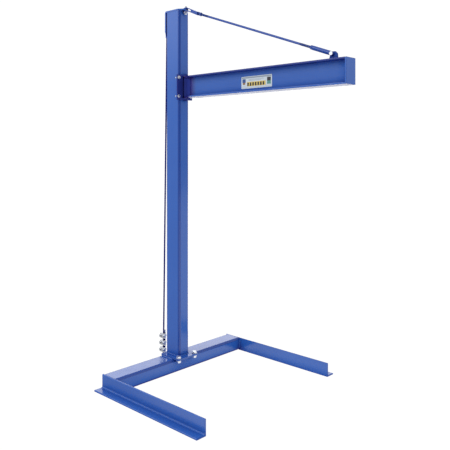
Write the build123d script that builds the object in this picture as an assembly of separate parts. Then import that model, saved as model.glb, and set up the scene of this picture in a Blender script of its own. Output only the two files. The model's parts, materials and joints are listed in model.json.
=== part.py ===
from build123d import *
import os
from math import atan2, cos, hypot, radians, sin, tan

# Floor-standing hoist crane: a U-shaped base of steel angle and box tube, a bolted box-tube
# mast, a swinging I-beam boom held up by a tie rod, and a wire rope back stay.
# Millimetres. Origin: centre of the mast on the floor. +X runs out along the boom, +Z is up.

# ---------------------------------------------------------------- driving dimensions
TUBE_LONG = 152.4          # 6 x 4 inch box tube, long side
TUBE_SHORT = 101.6         # 6 x 4 inch box tube, short side
TUBE_WALL = 9.5
TUBE_RADIUS = 19.0

ANGLE_HEIGHT = 101.6       # 4 x 3 inch steel angle
ANGLE_FLANGE = 76.2
ANGLE_THICKNESS = 9.5
ANGLE_FILLET = 11.0
ANGLE_TOE = 5.0
LEG_REACH = 946.0          # from the mast centre to the toe of each leg
INSIDE_WIDTH = 1255.0      # clear width between the legs

FOOT_PLATE = 6.35
FOOT_PLATE_FRONT = 126.0   # the plates end flush with the cross member at the back
FOOT_PLATE_Y = 200.0
FOOT_BOLT_X = 105.0
FOOT_BOLT_Y = 80.0
FOOT_WASHER = 3.4

MAST_TOP = 2725.0
HEAD_PLATE = 12.0
HEAD_BEND = 16.0
HEAD_SKIRT = 150.0         # how far the head bracket runs down the back of the mast
HEAD_SKIRT_BEVEL = 44.0
SWING_AXIS_X = 92.5        # vertical axis of the hinge pin and of the upper clevis pin
NOSE_RADIUS = 20.0

BOOM_LOW = 2062.0
BOOM_DEPTH = 160.0         # W6 x 16 beam
BOOM_FLANGE = 102.4
BOOM_FLANGE_THICK = 10.3
BOOM_WEB = 6.6
BOOM_FILLET = 8.0
BOOM_END = 1532.0
BOOM_FULL_WIDTH_X = 184.0  # the flanges are trimmed to a taper between here and the hinge
BOOM_NECK_X = 126.0
BOOM_NECK_HALF_Y = 17.0
BOOM_WEB_START_X = 147.0   # the web is cut back to here, where the knuckle's plate takes over
END_PLATE = 9.5

HINGE_PLATE = 7.9
HINGE_PLATE_HALF_Y = 76.0
HINGE_BOLT_Y = 62.0
HINGE_BOLT_LOW = 2076.0
HINGE_BOLT_HIGH = 2214.0
HINGE_BOLT_SIZE = 12.7
HINGE_WASHER = 2.4
EAR_THICK = 12.0
EAR_RADIUS = 20.0
EAR_ROOT_HALF_Y = 36.0
EAR_GAP = 2.0              # between each ear and the boom's flange, filled by a thrust washer
HINGE_PIN_RADIUS = 9.5
HINGE_PIN_TAIL = 8.0
KNUCKLE_RADIUS = 15.0
KNUCKLE_PLATE_HALF_Y = 7.0
BUSH_WALL = 1.5
BUSH_LENGTH = 30.0

ROD_RADIUS = 7.95
ROD_TOP_Z = MAST_TOP + HEAD_PLATE / 2
LOWER_PIN_X = 1404.0
LOWER_PIN_Z = 2257.0
COTTER_RADIUS = 1.7
CLEVIS_RADIUS = 14.3
CLEVIS_LENGTH = 156.0
LUG_THICK = 9.5
FORK_HALF_WIDTH = 16.0
FORK_STRAP = 6.35
FORK_SLOT_SHARE = 0.42     # share of the sloping length that the slot takes
FORK_GAP = 0.6             # between each strap and the head plate
FORK_END_X = 233.0
PIN_RADIUS = 7.95

ROPE_RADIUS = 6.35        # half inch wire rope
ROPE_TOP_X = -121.0
ROPE_TOP_Z = 2628.0
SOCKET_BOLT_SIZE = 12.7
SOCKET_HALF_WIDTH = 11.5
ANCHOR_X = -166.0
ANCHOR_Z = 34.0
ANCHOR_BOSS_RADIUS = 17.0
THIMBLE_RADIUS = 14.0
THIMBLE_HALF_WIDTH = 7.5
THIMBLE_PLAY = 0.5
CLIP_HEIGHTS = (103.0, 157.0, 211.0)
CLIP_LEG_SPACING = 29.0
CLIP_LEG_RADIUS = 5.5
CLIP_NUT_ACROSS = 22.0
CLIP_NUT_HEIGHT = 11.0
SADDLE_HALF_LENGTH = 27.0
SADDLE_HALF_HEIGHT = 19.0
SADDLE_BACK = 7.0          # thickness of the saddle behind the rope

LABEL_START_X = 664.0
LABEL_END_X = 935.0
LABEL_LOW = 2091.0
LABEL_HIGH = 2174.0
LABEL_THICK = 0.8

RUNNING = 0.05             # radial clearance of a running fit
BOLT_HOLE = 0.8            # radial clearance of a bolt hole

# ---------------------------------------------------------------- derived places
MAST_FOOT = TUBE_SHORT + 2 * FOOT_PLATE
MAST_FRONT = TUBE_LONG / 2
MAST_SIDE = TUBE_SHORT / 2
BOOM_HIGH = BOOM_LOW + BOOM_DEPTH
BOOM_MIDDLE = BOOM_LOW + BOOM_DEPTH / 2
HEAD_TOP = MAST_TOP + HEAD_PLATE
HINGE_FACE = MAST_FRONT + HINGE_PLATE
HINGE_BACK = MAST_FRONT - HINGE_PLATE
LOWER_EAR_HIGH = BOOM_LOW - EAR_GAP
LOWER_EAR_LOW = LOWER_EAR_HIGH - EAR_THICK
UPPER_EAR_LOW = BOOM_HIGH + EAR_GAP
UPPER_EAR_HIGH = UPPER_EAR_LOW + EAR_THICK
KNUCKLE_LOW = BOOM_LOW + BOOM_FLANGE_THICK
KNUCKLE_HIGH = BOOM_HIGH - BOOM_FLANGE_THICK
LOWER_COTTER_Y = CLEVIS_RADIUS + 6
ROD_SLOPE = atan2(ROD_TOP_Z - LOWER_PIN_Z, LOWER_PIN_X - SWING_AXIS_X)
ROD_DIRECTION = Vector(cos(ROD_SLOPE), 0, -sin(ROD_SLOPE))

parts = {}


# ---------------------------------------------------------------- shape helpers
def block(x0, x1, y0, y1, z0, z1):
    """Box given by its lowest and highest corners."""
    middle = ((x0 + x1) / 2, (y0 + y1) / 2, (z0 + z1) / 2)
    return Pos(*middle) * Box(x1 - x0, y1 - y0, z1 - z0)


def rod_between(start, end, radius):
    """Round bar from one point to another."""
    start = Vector(*start)
    axis = Vector(*end) - start
    return extrude(Plane(origin=start, z_dir=axis.normalized()) * Circle(radius), axis.length)


def ring(start, end, outer, inner):
    """Round tube from one point to another."""
    return rod_between(start, end, outer) - rod_between(start, end, inner)


def hex_prism(start, direction, across_flats, height):
    """Hexagonal prism with its corners turned down at the far end."""
    plane = Plane(origin=start, z_dir=direction)
    prism = extrude(plane * RegularPolygon(across_flats / 2, 6, major_radius=False), height)
    corner = across_flats / 2 / cos(radians(30))
    drop = 0.13 * across_flats
    cap = extrude(plane * Circle(corner + drop), height)
    rim = cap.edges().filter_by(GeomType.CIRCLE).sort_by(Axis(start, direction))[-1]
    return prism & chamfer(rim, length=drop * 0.55, length2=drop * 1.3)


def hex_bolt(under_head, direction, size, length, across_flats, head):
    """Bolt whose shank leaves under_head along direction and whose head sits behind it."""
    under_head = Vector(*under_head)
    direction = Vector(*direction)
    shank = rod_between(under_head, under_head + direction * length, size / 2)
    tip = shank.edges().filter_by(GeomType.CIRCLE).sort_by(Axis(under_head, direction))[-1]
    return chamfer(tip, size * 0.08) + hex_prism(under_head, direction * -1, across_flats, head)


def hex_nut(start, direction, size, across_flats, height):
    """Nut that starts at a seat and stands up along direction."""
    start = Vector(*start)
    direction = Vector(*direction)
    bore = rod_between(start - direction, start + direction * (height + 1), size / 2 + RUNNING)
    return hex_prism(start, direction, across_flats, height) - bore


def washer(start, direction, size, outer, height):
    """Flat washer that starts at a seat and stands up along direction."""
    start = Vector(*start)
    return ring(start, start + Vector(*direction) * height, outer / 2, size / 2 + 0.6)


def box_tube(plane, length):
    """6 x 4 box tube extruded from the plane, long side along the plane's x."""
    outer = extrude(plane * RectangleRounded(TUBE_LONG, TUBE_SHORT, TUBE_RADIUS), length)
    inner_size = (TUBE_LONG - 2 * TUBE_WALL, TUBE_SHORT - 2 * TUBE_WALL)
    return outer - extrude(plane * RectangleRounded(*inner_size, TUBE_RADIUS - TUBE_WALL), length)


def side_plate(points, y0, y1):
    """Flat plate standing in the XZ plane, from its outline and its two faces in Y."""
    face = Plane.XZ * make_face(Polyline(*points, close=True))
    return Pos(0, y1, 0) * extrude(face, y1 - y0)


# ---------------------------------------------------------------- base
def cross_member():
    return box_tube(Plane(origin=(0, -INSIDE_WIDTH / 2, TUBE_SHORT / 2), x_dir=(1, 0, 0), z_dir=(0, 1, 0)),
                    INSIDE_WIDTH)


def leg_angle(side):
    """Unequal angle on its short flange, which points outwards; side is +1 or -1."""
    start = Plane(origin=(-MAST_FRONT, 0, 0), x_dir=(0, 1, 0), z_dir=(1, 0, 0))
    outline = Polyline((0, 0), (ANGLE_FLANGE, 0), (ANGLE_FLANGE, ANGLE_THICKNESS),
                       (ANGLE_THICKNESS, ANGLE_THICKNESS), (ANGLE_THICKNESS, ANGLE_HEIGHT),
                       (0, ANGLE_HEIGHT), close=True)
    face = make_face(outline)
    inner = [v for v in face.vertices() if abs(v.X - ANGLE_THICKNESS) + abs(v.Y - ANGLE_THICKNESS) < 0.01]
    face = fillet(inner, ANGLE_FILLET)
    toes = [v for v in face.vertices()
            if hypot(v.X - ANGLE_FLANGE, v.Y - ANGLE_THICKNESS) < 0.01
            or hypot(v.X - ANGLE_THICKNESS, v.Y - ANGLE_HEIGHT) < 0.01]
    face = fillet(toes, ANGLE_TOE)
    leg = Pos(0, INSIDE_WIDTH / 2, 0) * extrude(start * face, LEG_REACH + MAST_FRONT)
    return leg if side > 0 else mirror(leg, Plane.XZ)


def foot_places():
    return [(FOOT_BOLT_X, -FOOT_BOLT_Y), (FOOT_BOLT_X, FOOT_BOLT_Y)]


def foot_plate(low):
    """Plate on top of the cross member that overhangs it in front for two bolts."""
    plate = block(-MAST_FRONT, FOOT_PLATE_FRONT, -FOOT_PLATE_Y / 2, FOOT_PLATE_Y / 2, low, low + FOOT_PLATE)
    plate = fillet(plate.edges().filter_by(Axis.Z), 8)
    for x, y in foot_places():
        plate -= rod_between((x, y, low - 1), (x, y, low + FOOT_PLATE + 1), 9.5 + BOLT_HOLE)
    return plate


def foot_fasteners():
    """Three-quarter inch bolts from above, with a washer and nut below the pad plate."""
    washer_low = TUBE_SHORT - FOOT_WASHER
    head_seat = MAST_FOOT + FOOT_WASHER
    nut_height = 14.0
    length = head_seat - washer_low + nut_height + 4
    up = (0, 0, 1)
    down = (0, 0, -1)
    bolts, nuts, washers = [], [], []
    for x, y in foot_places():
        washers.append(washer((x, y, MAST_FOOT), up, 19, 37, FOOT_WASHER))
        washers.append(washer((x, y, washer_low), up, 19, 37, FOOT_WASHER))
        bolts.append(hex_bolt((x, y, head_seat), down, 19, length, 28.6, 12))
        nuts.append(hex_nut((x, y, washer_low), down, 19, 28.6, nut_height))
    parts["foot_bolts"] = bolts
    parts["foot_nuts"] = nuts
    parts["foot_washers"] = washers


# ---------------------------------------------------------------- mast
def mast_tube():
    return box_tube(Plane.XY.offset(MAST_FOOT), MAST_TOP - MAST_FOOT)


def mast_lug(side):
    """Lug welded to the side of the mast, flush with its front, that takes two hinge bolts."""
    lug = block(HINGE_BACK, MAST_FRONT, MAST_SIDE - TUBE_RADIUS, HINGE_PLATE_HALF_Y,
                LOWER_EAR_LOW, UPPER_EAR_HIGH)
    mast = Plane.XY.offset(LOWER_EAR_LOW - 1) * RectangleRounded(TUBE_LONG, TUBE_SHORT, TUBE_RADIUS)
    lug -= extrude(mast, UPPER_EAR_HIGH - LOWER_EAR_LOW + 2)
    hole = HINGE_BOLT_SIZE / 2 + BOLT_HOLE
    for z in (HINGE_BOLT_LOW, HINGE_BOLT_HIGH):
        lug -= rod_between((0, HINGE_BOLT_Y, z), (HINGE_FACE + 1, HINGE_BOLT_Y, z), hole)
    lug = lug.solids().sort_by(SortBy.VOLUME)[-1]
    return lug if side > 0 else mirror(lug, Plane.XZ)


def swing_bar(radius, low, high):
    """Upright round bar on the swing axis."""
    return rod_between((SWING_AXIS_X, 0, low), (SWING_AXIS_X, 0, high), radius)


def head_bracket():
    """Bent plate: a skirt down the back of the mast, a top plate and a rounded nose in front."""
    back = -MAST_FRONT - HEAD_PLATE
    low = HEAD_TOP - HEAD_SKIRT
    front = SWING_AXIS_X + NOSE_RADIUS
    points = [(-MAST_FRONT, MAST_TOP), (front, MAST_TOP), (front, HEAD_TOP), (back, HEAD_TOP),
              (back, low), (-MAST_FRONT, low - HEAD_SKIRT_BEVEL)]
    bracket = side_plate(points, -MAST_SIDE, MAST_SIDE)
    bend = bracket.edges().filter_by(Axis.Y).sort_by_distance((back, 0, HEAD_TOP))[0]
    bracket = fillet(bend, HEAD_BEND)
    neck = SWING_AXIS_X + 8
    neck_half = NOSE_RADIUS - 1.5
    half_taper = [(neck, neck_half), (MAST_FRONT - 20, MAST_SIDE), (back - 5, MAST_SIDE)]
    taper = Polyline(*half_taper, *[(x, -y) for x, y in reversed(half_taper)], close=True)
    outline = Pos(SWING_AXIS_X, 0) * Circle(NOSE_RADIUS) + make_face(taper)
    bracket = bracket & extrude(Plane.XY.offset(low - 100) * outline, 400)
    return bracket - swing_bar(PIN_RADIUS + RUNNING, MAST_TOP - 1, HEAD_TOP + 1)


def head_rope_lug():
    """Lug on the back of the head bracket for the top end of the stay rope."""
    back = -MAST_FRONT - HEAD_PLATE
    x = ROPE_TOP_X
    z = ROPE_TOP_Z
    points = [(back, z + 34), (back, z - 34), (x, z - 15), (x - 10, z - 12), (x - 15, z), (x - 10, z + 12),
              (x, z + 15)]
    lug = side_plate(points, -LUG_THICK / 2, LUG_THICK / 2)
    return lug - rod_between((x, -20, z), (x, 20, z), SOCKET_BOLT_SIZE / 2 + BOLT_HOLE)


# ---------------------------------------------------------------- swing hinge
def hinge_bracket():
    """Bolted back plate with two horizontal ears, and a window that clears the boom's root."""
    bracket = block(MAST_FRONT, HINGE_FACE, -HINGE_PLATE_HALF_Y, HINGE_PLATE_HALF_Y,
                    LOWER_EAR_LOW, UPPER_EAR_HIGH)
    window = KNUCKLE_RADIUS + 3
    bracket -= block(MAST_FRONT - 1, HINGE_FACE + 1, -window, window, LOWER_EAR_HIGH, UPPER_EAR_LOW)
    hole = HINGE_BOLT_SIZE / 2 + BOLT_HOLE
    for y, z in hinge_bolt_places():
        bracket -= rod_between((MAST_FRONT - 1, y, z), (HINGE_FACE + 1, y, z), hole)
    tip_x = SWING_AXIS_X + 6
    tip_half = EAR_RADIUS - 1
    web = Polyline((HINGE_FACE, -EAR_ROOT_HALF_Y), (tip_x, -tip_half), (tip_x, tip_half),
                   (HINGE_FACE, EAR_ROOT_HALF_Y), close=True)
    ear = Pos(SWING_AXIS_X, 0) * Circle(EAR_RADIUS) + make_face(web)
    for low in (LOWER_EAR_LOW, UPPER_EAR_LOW):
        behind = block(HINGE_FACE - 40, HINGE_FACE, -60, 60, low - 1, low + EAR_THICK + 1)
        bracket += extrude(Plane.XY.offset(low) * ear, EAR_THICK) - behind
    return bracket - swing_bar(HINGE_PIN_RADIUS + RUNNING, LOWER_EAR_LOW - 20, UPPER_EAR_HIGH + 20)


def hinge_bolt_places():
    return [(y, z) for y in (-HINGE_BOLT_Y, HINGE_BOLT_Y) for z in (HINGE_BOLT_LOW, HINGE_BOLT_HIGH)]


def hinge_fasteners():
    """Half inch bolts through the bracket and the mast lugs, heads to the front."""
    size = HINGE_BOLT_SIZE
    across = 19.0
    nut_height = 11.0
    length = HINGE_WASHER + 2 * HINGE_PLATE + nut_height + 3
    forward = (1, 0, 0)
    backward = (-1, 0, 0)
    bolts, nuts, washers = [], [], []
    for y, z in hinge_bolt_places():
        washers.append(washer((HINGE_FACE, y, z), forward, size, 27, HINGE_WASHER))
        bolts.append(hex_bolt((HINGE_FACE + HINGE_WASHER, y, z), backward, size, length, across, 8))
        nuts.append(hex_nut((HINGE_BACK, y, z), backward, size, across, nut_height))
    parts["hinge_bolts"] = bolts
    parts["hinge_nuts"] = nuts
    parts["hinge_washers"] = washers


def swing_pin():
    """Headed pin through both ears and the boom's root, with a cross hole for the cotter below."""
    pin = swing_bar(HINGE_PIN_RADIUS, LOWER_EAR_LOW - HINGE_PIN_TAIL, UPPER_EAR_HIGH)
    pin += swing_bar(HINGE_PIN_RADIUS + 4, UPPER_EAR_HIGH, UPPER_EAR_HIGH + 5)
    z = LOWER_EAR_LOW - HINGE_PIN_TAIL / 2
    return pin - rod_between((SWING_AXIS_X, -20, z), (SWING_AXIS_X, 20, z), COTTER_RADIUS + 0.3)


def cotter(centre, direction, spread, leg):
    """Split pin: a ring eye, a shank through the pin and two short bent-open legs."""
    centre = Vector(*centre)
    along = Vector(*direction)
    side = Vector(*spread)
    shank = rod_between(centre - along * leg, centre + along * leg, COTTER_RADIUS)
    eye_plane = Plane(origin=centre - along * (leg + 3.4), z_dir=along.cross(side))
    pin = shank + eye_plane * Torus(3.2, 1.1)
    for sign in (-1, 1):
        pin += rod_between(centre + along * (leg - 1), centre + along * (leg + 5) + side * (5 * sign), 1.1)
    return pin


def thrust_washers():
    """Two bronze thrust washers between the ears and the boom's flanges."""
    height = EAR_GAP - 0.1
    washers = []
    for low in (LOWER_EAR_HIGH, UPPER_EAR_LOW - height):
        disc = swing_bar(KNUCKLE_RADIUS, low, low + height)
        washers.append(disc - swing_bar(HINGE_PIN_RADIUS + RUNNING, low - 1, low + height + 1))
    return washers


# ---------------------------------------------------------------- boom
def boom_knuckle():
    """Tube on the swing axis, welded between the flanges, with a plate that meets the web."""
    tube = swing_bar(KNUCKLE_RADIUS, KNUCKLE_LOW, KNUCKLE_HIGH)
    tube += block(SWING_AXIS_X, BOOM_WEB_START_X, -KNUCKLE_PLATE_HALF_Y, KNUCKLE_PLATE_HALF_Y,
                  KNUCKLE_LOW, KNUCKLE_HIGH)
    return tube - swing_bar(HINGE_PIN_RADIUS + BUSH_WALL, KNUCKLE_LOW - 1, KNUCKLE_HIGH + 1)


def knuckle_bushes():
    """Bronze bushes pressed in each end of the knuckle, running on the swing pin."""
    bushes = []
    for low in (KNUCKLE_LOW, KNUCKLE_HIGH - BUSH_LENGTH):
        sleeve = swing_bar(HINGE_PIN_RADIUS + BUSH_WALL, low, low + BUSH_LENGTH)
        bushes.append(sleeve - swing_bar(HINGE_PIN_RADIUS + RUNNING, low - 1, low + BUSH_LENGTH + 1))
    return bushes


def beam_section():
    """I-beam outline, drawn with Y across and Z up, centred on the web."""
    half = BOOM_DEPTH / 2
    edge = BOOM_FLANGE / 2
    web = BOOM_WEB / 2
    inner = half - BOOM_FLANGE_THICK
    quarter = [(edge, half), (edge, inner), (web, inner)]
    points = quarter + [(y, -z) for y, z in reversed(quarter)]
    points += [(-y, -z) for y, z in quarter] + [(-y, z) for y, z in reversed(quarter)]
    face = make_face(Polyline(*points, close=True))
    corners = [v for v in face.vertices() if abs(abs(v.X) - web) < 0.01 and abs(abs(v.Y) - inner) < 0.01]
    return fillet(corners, BOOM_FILLET)


def boom_beam():
    """Rolled beam. Its flanges taper to a rounded neck round the swing pin, and its web is cut back."""
    start = SWING_AXIS_X - KNUCKLE_RADIUS
    plane = Plane(origin=(start, 0, BOOM_MIDDLE), x_dir=(0, 1, 0), z_dir=(1, 0, 0))
    beam = extrude(plane * beam_section(), BOOM_END - END_PLATE - start)
    wide = BOOM_FLANGE / 2
    half_outline = [(SWING_AXIS_X, KNUCKLE_RADIUS), (BOOM_NECK_X, BOOM_NECK_HALF_Y),
                    (BOOM_FULL_WIDTH_X, wide), (BOOM_FULL_WIDTH_X, wide + 5), (BOOM_END, wide + 5)]
    outline = half_outline + [(x, -y) for x, y in reversed(half_outline)]
    plan = Pos(SWING_AXIS_X, 0) * Circle(KNUCKLE_RADIUS) + make_face(Polyline(*outline, close=True))
    beam = beam & extrude(Plane.XY.offset(BOOM_LOW - 1) * plan, BOOM_DEPTH + 2)
    beam -= block(start - 1, BOOM_WEB_START_X, -30, 30, KNUCKLE_LOW, KNUCKLE_HIGH)
    return beam - swing_bar(HINGE_PIN_RADIUS + 0.5, BOOM_LOW - 1, BOOM_HIGH + 1)


def boom_end_plate():
    plate = block(BOOM_END - END_PLATE, BOOM_END, -BOOM_FLANGE / 2, BOOM_FLANGE / 2, BOOM_LOW, BOOM_HIGH)
    return fillet(plate.edges().filter_by(Axis.X), 1.5)


def lower_pin_bar(radius, near, far):
    """Cross bar on the axis of the lower clevis pin."""
    return rod_between((LOWER_PIN_X, near, LOWER_PIN_Z), (LOWER_PIN_X, far, LOWER_PIN_Z), radius)


def tie_lug():
    """Upright lug on the top flange that takes the lower clevis pin."""
    x = LOWER_PIN_X
    z = LOWER_PIN_Z
    points = [(x - 22, BOOM_HIGH), (x + 40, BOOM_HIGH), (x + 36, BOOM_HIGH + 34), (x + 22, z + 13),
              (x, z + 13.5), (x - 11, z + 8), (x - 14, z)]
    return side_plate(points, -LUG_THICK / 2, LUG_THICK / 2) - lower_pin_bar(PIN_RADIUS + RUNNING, -20, 20)


def web_label():
    face = -BOOM_WEB / 2
    plate = block(LABEL_START_X, LABEL_END_X, face - LABEL_THICK, face, LABEL_LOW, LABEL_HIGH)
    return fillet(plate.edges().filter_by(Axis.Y), 6)


# ---------------------------------------------------------------- tie rod
def on_rod(distance):
    """Point on the rod's axis, measured from the swing axis."""
    return Vector(SWING_AXIS_X, 0, ROD_TOP_Z) + ROD_DIRECTION * distance


ROD_LENGTH = hypot(ROD_TOP_Z - LOWER_PIN_Z, LOWER_PIN_X - SWING_AXIS_X)
FORK_END = (FORK_END_X - SWING_AXIS_X) / cos(ROD_SLOPE)
SOCKET_START = ROD_LENGTH - CLEVIS_LENGTH
THREAD_GRIP = 34.0
NUT_HEIGHT = 14.0
JAM_GAP = 0.2


def upper_clevis():
    """Fork of two straps over and under the head plate, bent down into a threaded block."""
    half = FORK_STRAP / 2
    upper = HEAD_TOP + FORK_GAP + half
    lower = MAST_TOP - FORK_GAP - half
    bend_x = SWING_AXIS_X + NOSE_RADIUS + 4
    end = on_rod(FORK_END)
    offset = (upper - lower) / 2
    fall = ROD_TOP_Z - end.Z
    run = end.X - bend_x
    slope = atan2(fall, run)
    rise = half / cos(slope)
    turn = half * tan(slope / 2)
    back = SWING_AXIS_X - KNUCKLE_RADIUS
    block_x = bend_x + FORK_SLOT_SHARE * run
    drop = FORK_SLOT_SHARE * fall
    outer = [(back, upper + half), (bend_x + turn, upper + half), (end.X, end.Z + offset + rise),
             (end.X, end.Z - offset - rise), (bend_x - turn, lower - half), (back, lower - half)]
    slot = [(back - 1, upper - half), (bend_x - turn, upper - half), (block_x, upper - rise - drop),
            (block_x, lower + rise - drop), (bend_x + turn, lower + half), (back - 1, lower + half)]
    fork = side_plate(outer, -FORK_HALF_WIDTH, FORK_HALF_WIDTH) - side_plate(slot, -30, 30)
    plan = Pos(SWING_AXIS_X, 0) * Circle(KNUCKLE_RADIUS)
    plan += Pos(SWING_AXIS_X + 100, 0) * Rectangle(200, 2 * FORK_HALF_WIDTH)
    fork = fork & extrude(Plane.XY.offset(end.Z - 60) * plan, 200)
    fork -= swing_bar(PIN_RADIUS + RUNNING, MAST_TOP - 50, HEAD_TOP + 50)
    return fork - rod_between(on_rod(FORK_END - THREAD_GRIP - 8), on_rod(FORK_END + 40), ROD_RADIUS + RUNNING)


def upper_clevis_pin():
    """Vertical bolt on the swing axis that holds the fork to the head plate."""
    top = HEAD_TOP + FORK_GAP + FORK_STRAP
    return hex_bolt((SWING_AXIS_X, 0, top), (0, 0, -1), 2 * PIN_RADIUS, 50, 23.8, 10)


def upper_clevis_nut():
    low = MAST_TOP - FORK_GAP - FORK_STRAP
    return hex_nut((SWING_AXIS_X, 0, low), (0, 0, -1), 2 * PIN_RADIUS, 23.8, 13.9)


def tie_rod():
    """Round rod threaded into the fork at the top and into the lower clevis."""
    start = on_rod(FORK_END - THREAD_GRIP)
    end = on_rod(SOCKET_START + THREAD_GRIP)
    bar = rod_between(start, end, ROD_RADIUS)
    return chamfer(bar.edges().filter_by(GeomType.CIRCLE), 1.2)


def jam_nut(seat, direction):
    """Lock nut on the rod, run up against a clevis."""
    return hex_nut(seat, direction, 2 * ROD_RADIUS, 23.8, NUT_HEIGHT)


def lower_clevis():
    """Round clevis, threaded for the rod at one end and slotted over the boom lug at the other."""
    start = on_rod(SOCKET_START)
    body = rod_between(start, on_rod(ROD_LENGTH + 14), CLEVIS_RADIUS)
    body = chamfer(body.edges().filter_by(GeomType.CIRCLE), 2)
    slot_plane = Plane(origin=on_rod(ROD_LENGTH), x_dir=ROD_DIRECTION, z_dir=(0, 1, 0))
    slot = extrude(slot_plane * (Pos(4, 0) * Rectangle(60, 60)), (LUG_THICK + 1) / 2, both=True)
    body -= slot
    body -= lower_pin_bar(PIN_RADIUS + RUNNING, -30, 30)
    thread_end = SOCKET_START + THREAD_GRIP + 10
    return body - rod_between(on_rod(SOCKET_START - 1), on_rod(thread_end), ROD_RADIUS + RUNNING)


def lower_clevis_pin():
    """Headed pin through the lower clevis and the boom lug."""
    near = -CLEVIS_RADIUS - 0.5
    pin = lower_pin_bar(PIN_RADIUS, near, LOWER_COTTER_Y + 5)
    head = lower_pin_bar(12.5, near - 6, near)
    head = chamfer(head.edges().filter_by(GeomType.CIRCLE).sort_by(Axis.Y)[0], 1.2)
    x = LOWER_PIN_X
    y = LOWER_COTTER_Y
    return pin + head - rod_between((x, y, LOWER_PIN_Z - 20), (x, y, LOWER_PIN_Z + 20), COTTER_RADIUS + 0.3)


# ---------------------------------------------------------------- back stay
ROPE_LOOP = THIMBLE_RADIUS + ROPE_RADIUS     # centre line radius round the thimble
ROPE_STEP = 2 * ROPE_RADIUS + 0.1            # the dead end lies this far beside the live line
ANCHOR_Y = ROPE_STEP / 2
LIVE_FOOT = Vector(ANCHOR_X + 2, 0, CLIP_HEIGHTS[0] - 22)
ROPE_TOP = Vector(ROPE_TOP_X, 0, ROPE_TOP_Z)
ROPE_LEAN = (LIVE_FOOT - ROPE_TOP).normalized()


def rope_point(z, y=0.0):
    """Point on the live line at a height, moved sideways by y."""
    return ROPE_TOP + ROPE_LEAN * ((ROPE_TOP_Z - z) / -ROPE_LEAN.Z) + Vector(0, y, 0)


def stay_rope():
    """Wire rope: down from the socket, round the thimble and back up through the clips."""
    top = rope_point(ROPE_TOP_Z - 44)
    dead_low = LIVE_FOOT + Vector(0, ROPE_STEP, 0)
    dead_high = rope_point(CLIP_HEIGHTS[-1] + 34, ROPE_STEP)
    near = (ANCHOR_X, ANCHOR_Y - ROPE_LOOP, ANCHOR_Z)
    low = (ANCHOR_X, ANCHOR_Y, ANCHOR_Z - ROPE_LOOP)
    far = (ANCHOR_X, ANCHOR_Y + ROPE_LOOP, ANCHOR_Z)
    path = Line(top, LIVE_FOOT)
    path += Spline(LIVE_FOOT, near, tangents=(ROPE_LEAN, (0, 0, -1)))
    path += ThreePointArc(near, low, far)
    path += Spline(far, dead_low, tangents=((0, 0, 1), ROPE_LEAN * -1))
    path += Line(dead_low, dead_high)
    return sweep(Plane(origin=top, z_dir=ROPE_LEAN) * Circle(ROPE_RADIUS), path=path)


def rope_socket():
    """Swaged jaw on the top end of the rope, with two cheeks over the head lug."""
    half = SOCKET_HALF_WIDTH
    barrel = rod_between(ROPE_TOP + ROPE_LEAN * 34, ROPE_TOP + ROPE_LEAN * 84, 10.5)
    cheeks = rod_between((ROPE_TOP_X, -half, ROPE_TOP_Z), (ROPE_TOP_X, half, ROPE_TOP_Z), 13)
    cheeks += block(ROPE_TOP_X - 13, ROPE_TOP_X + 12, -half, half, ROPE_TOP_Z - 40, ROPE_TOP_Z)
    body = barrel + cheeks
    body -= block(ROPE_TOP_X - 30, ROPE_TOP_X + 30, -5.3, 5.3, ROPE_TOP_Z - 24, ROPE_TOP_Z + 30)
    hole = SOCKET_BOLT_SIZE / 2 + RUNNING
    body -= rod_between((ROPE_TOP_X, -20, ROPE_TOP_Z), (ROPE_TOP_X, 20, ROPE_TOP_Z), hole)
    return body - rod_between(ROPE_TOP + ROPE_LEAN * 43.5, ROPE_TOP + ROPE_LEAN * 100, ROPE_RADIUS + RUNNING)


def socket_fasteners():
    """Half inch cross bolt and nut through the socket's cheeks and the head lug."""
    across = 19.0
    nut_height = 11.0
    side = (0, 1, 0)
    length = 2 * SOCKET_HALF_WIDTH + nut_height + 4
    under_head = (ROPE_TOP_X, -SOCKET_HALF_WIDTH, ROPE_TOP_Z)
    under_nut = (ROPE_TOP_X, SOCKET_HALF_WIDTH, ROPE_TOP_Z)
    parts["rope_socket_bolt"] = hex_bolt(under_head, side, SOCKET_BOLT_SIZE, length, across, 8)
    parts["rope_socket_nut"] = hex_nut(under_nut, side, SOCKET_BOLT_SIZE, across, nut_height)


def anchor_bar(start_x, end_x, radius):
    """Round bar along X on the anchor's axis."""
    return rod_between((start_x, ANCHOR_Y, ANCHOR_Z), (end_x, ANCHOR_Y, ANCHOR_Z), radius)


def rope_anchor_boss():
    """Round boss welded behind the cross member, drilled and tapped for the anchor bolt."""
    end = ANCHOR_X + THIMBLE_HALF_WIDTH + THIMBLE_PLAY
    hole = anchor_bar(end - 1, end + 42, PIN_RADIUS + RUNNING)
    return anchor_bar(end, -MAST_FRONT, ANCHOR_BOSS_RADIUS) - hole


def rope_thimble():
    """Grooved round thimble that the rope bends round, on the anchor bolt."""
    near = ANCHOR_X - THIMBLE_HALF_WIDTH
    far = ANCHOR_X + THIMBLE_HALF_WIDTH
    body = anchor_bar(near, far, THIMBLE_RADIUS + 4)
    plane = Plane(origin=(ANCHOR_X, ANCHOR_Y, ANCHOR_Z), z_dir=(1, 0, 0))
    groove = plane * Torus(ROPE_LOOP, ROPE_RADIUS + 0.1)
    return body - groove - anchor_bar(near - 1, far + 1, PIN_RADIUS + RUNNING)


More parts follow.
